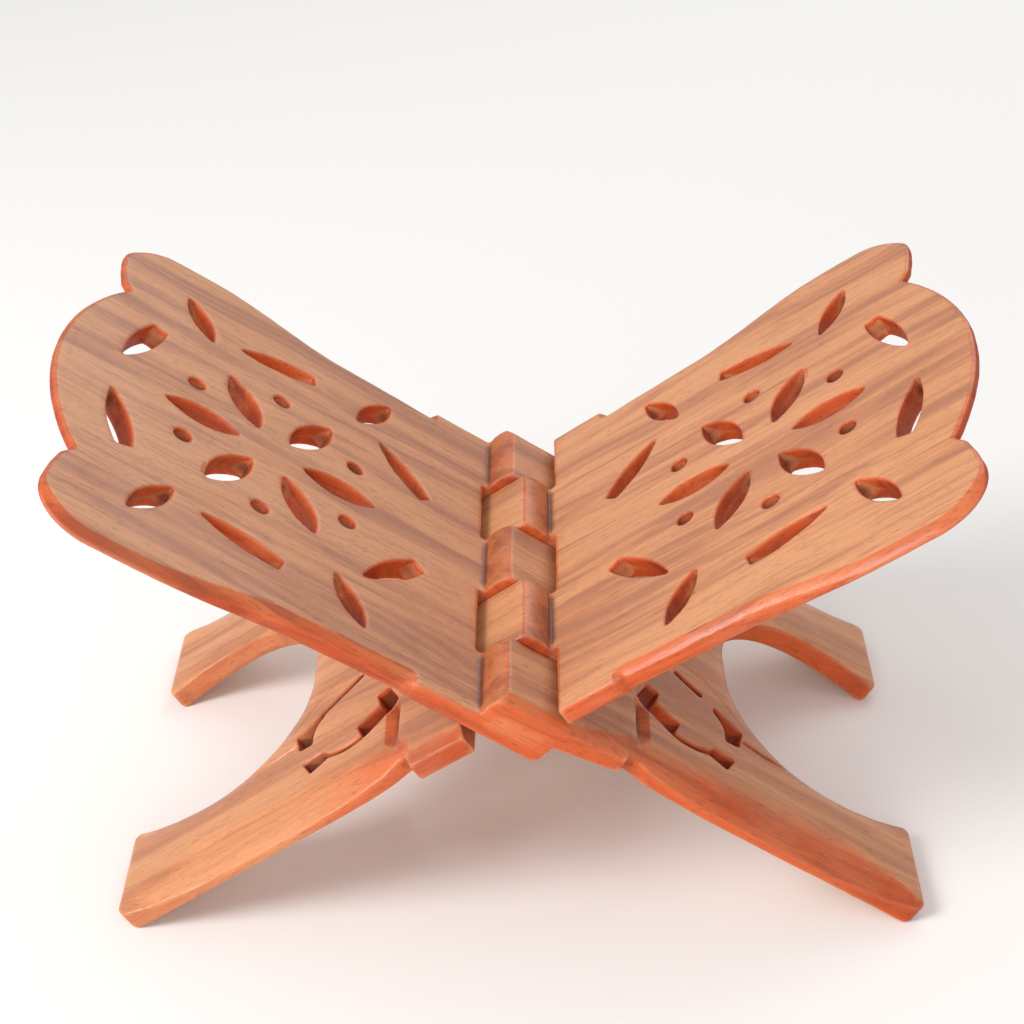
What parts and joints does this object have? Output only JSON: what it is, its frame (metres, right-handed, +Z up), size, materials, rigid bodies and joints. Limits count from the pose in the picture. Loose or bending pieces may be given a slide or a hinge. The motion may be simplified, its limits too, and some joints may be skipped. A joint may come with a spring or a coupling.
{
  "type": "folding book stand",
  "caption": "Carved wooden folding book stand: two pierced boards cross in an X on interlocking wooden knuckles and hold an open book in a V.",
  "frame": {"origin": "on the table under the hinge, midway between the feet", "axes": "+X to the reader's right, +Y away from the reader along the hinge, +Z up"},
  "size_m": [0.3516, 0.223, 0.2059],
  "materials": {
    "left_board_wood": "satin",
    "right_board_wood": "satin"
  },
  "bodies": {
    "left_rest_body": {"left_rest_board": "left_board_wood"},
    "right_rest_body": {"right_rest_board": "right_board_wood"}
  },
  "joints": [
    {"name": "fold_hinge", "type": "hinge", "parent": "left_rest_body", "child": "right_rest_body", "pos_m": [0, 0, 0.0953], "axis": [0, -1, 0], "range_deg": [0, 113.6]}
  ]
}
